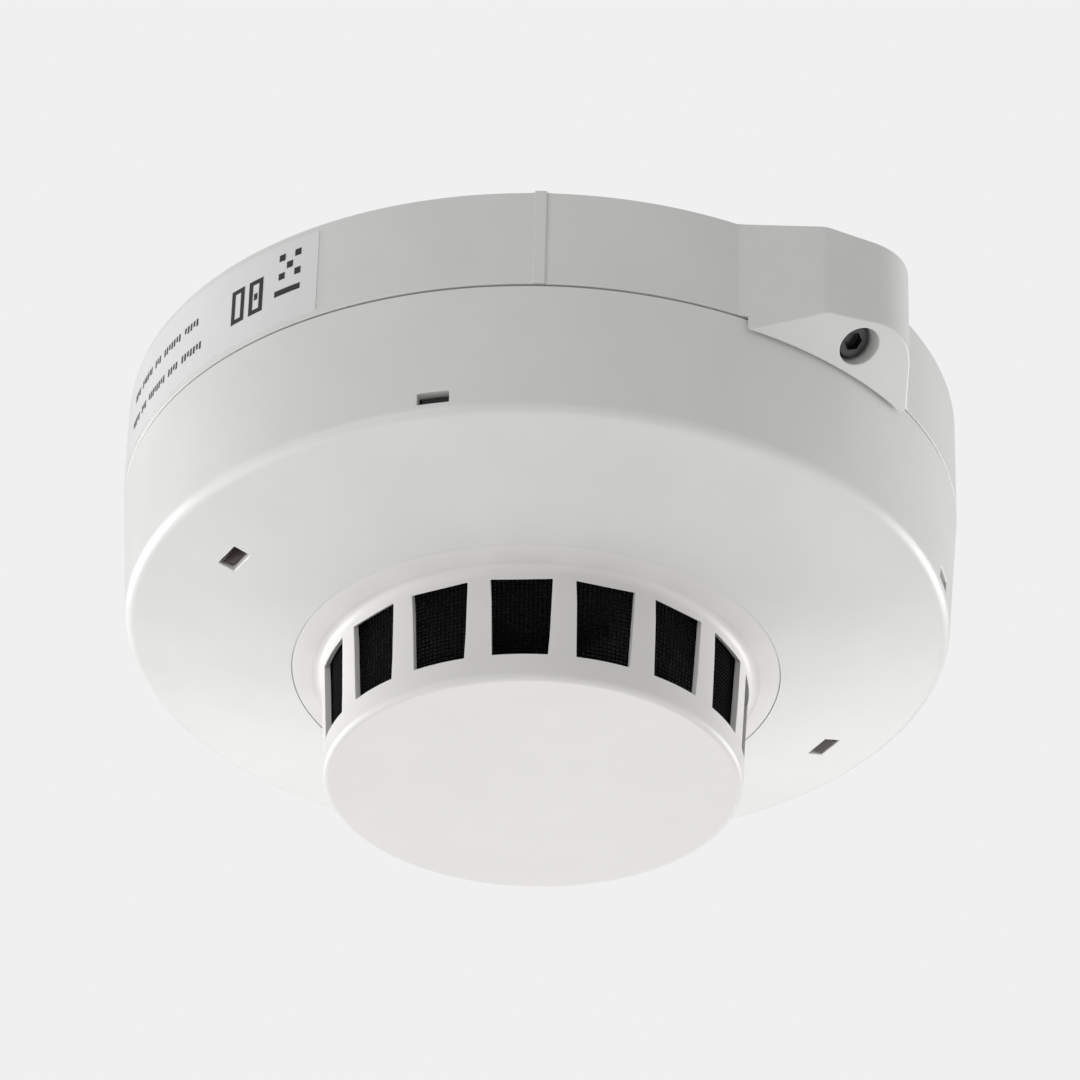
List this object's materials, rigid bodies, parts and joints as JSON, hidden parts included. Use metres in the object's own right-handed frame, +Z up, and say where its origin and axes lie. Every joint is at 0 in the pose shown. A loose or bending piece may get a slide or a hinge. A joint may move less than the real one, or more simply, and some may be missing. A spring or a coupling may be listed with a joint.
{
  "type": "heat detector",
  "caption": "Round ceiling heat detector: a twist-lock head with a slotted vent cage on a shallow mounting base with a side lobe for its locking screw.",
  "frame": {"origin": "centre of the mounting face, where the base's ceiling side meets the cable entry's axis", "axes": "+Z points up into the ceiling along the detector's axis, so the detector hangs towards -Z; -Y points at the alignment rib, and the locking lobe lies 42.3 degrees from there towards +X"},
  "size_m": [0.1001, 0.1004, 0.0492],
  "materials": {
    "base_plastic": "satin off-white moulding",
    "head_plastic": "satin off-white moulding",
    "cage_plastic": "satin off-white moulding",
    "black_plastic": "fine matt",
    "spring_steel": "nickel plated strip",
    "terminal_brass": "bright turned brass",
    "zinc_steel": "bright zinc plate",
    "black_steel": "black oxide",
    "label_film": "printed film",
    "board_laminate": "green solder mask",
    "thermistor_epoxy": "dipped epoxy",
    "chip_epoxy": "moulded epoxy",
    "tinned_leads": "tinned",
    "capacitor_can": "sleeved can",
    "chip_ceramic": "fired ceramic",
    "reed_glass": "clear glass",
    "indicator_lens": "clear red moulding",
    "screen_mesh": "fine black mesh"
  },
  "bodies": {
    "base": {"base_housing": "base_plastic", "contact_springs": "spring_steel", "clamp_plates": "terminal_brass", "terminal_screws": "zinc_steel", "earth_post": "terminal_brass", "earth_screw": "zinc_steel", "lock_insert": "terminal_brass", "rating_label": "label_film"},
    "screw_washer": {"lock_washer": "zinc_steel"},
    "screw": {"locking_screw": "black_steel"},
    "head": {"head_chassis": "black_plastic", "contact_blades": "spring_steel", "contact_rivets": "terminal_brass", "circuit_board": "board_laminate", "board_screws": "zinc_steel", "sensor_carrier": "black_plastic", "sensing_thermistor": "thermistor_epoxy", "reference_thermistor": "thermistor_epoxy", "microcontroller": "chip_epoxy", "controller_leads": "tinned_leads", "smoothing_capacitor": "capacitor_can", "bridge_rectifier": "chip_epoxy", "rectifier_leads": "tinned_leads", "chip_resistors": "chip_epoxy", "chip_capacitors": "chip_ceramic", "reed_switch": "reed_glass", "reed_leads": "tinned_leads", "indicator_leds": "indicator_lens", "light_pipes": "indicator_lens", "back_label": "label_film", "insect_screen": "screen_mesh", "vent_cage": "cage_plastic", "head_cover": "head_plastic"}
  },
  "joints": [
    {"name": "head_twist", "type": "hinge", "parent": "base", "child": "head", "pos_m": [0, 0, 0], "axis": [0, 0, -1], "range_deg": [0, 20]},
    {"name": "lock_screw_travel", "type": "slide", "parent": "base", "child": "screw_washer", "axis": [0.4326, -0.4754, -0.766], "range_m": [0, 0.003]},
    {"name": "lock_screw_turn", "type": "hinge", "parent": "screw_washer", "child": "screw", "pos_m": [0.03597, -0.03953, -0.01287], "axis": [0.4326, -0.4754, -0.766], "range_deg": [0, 2160]}
  ],
  "couplings": [
    {"joint": "lock_screw_turn", "follows": "lock_screw_travel", "rad_per_m": 12566}
  ]
}
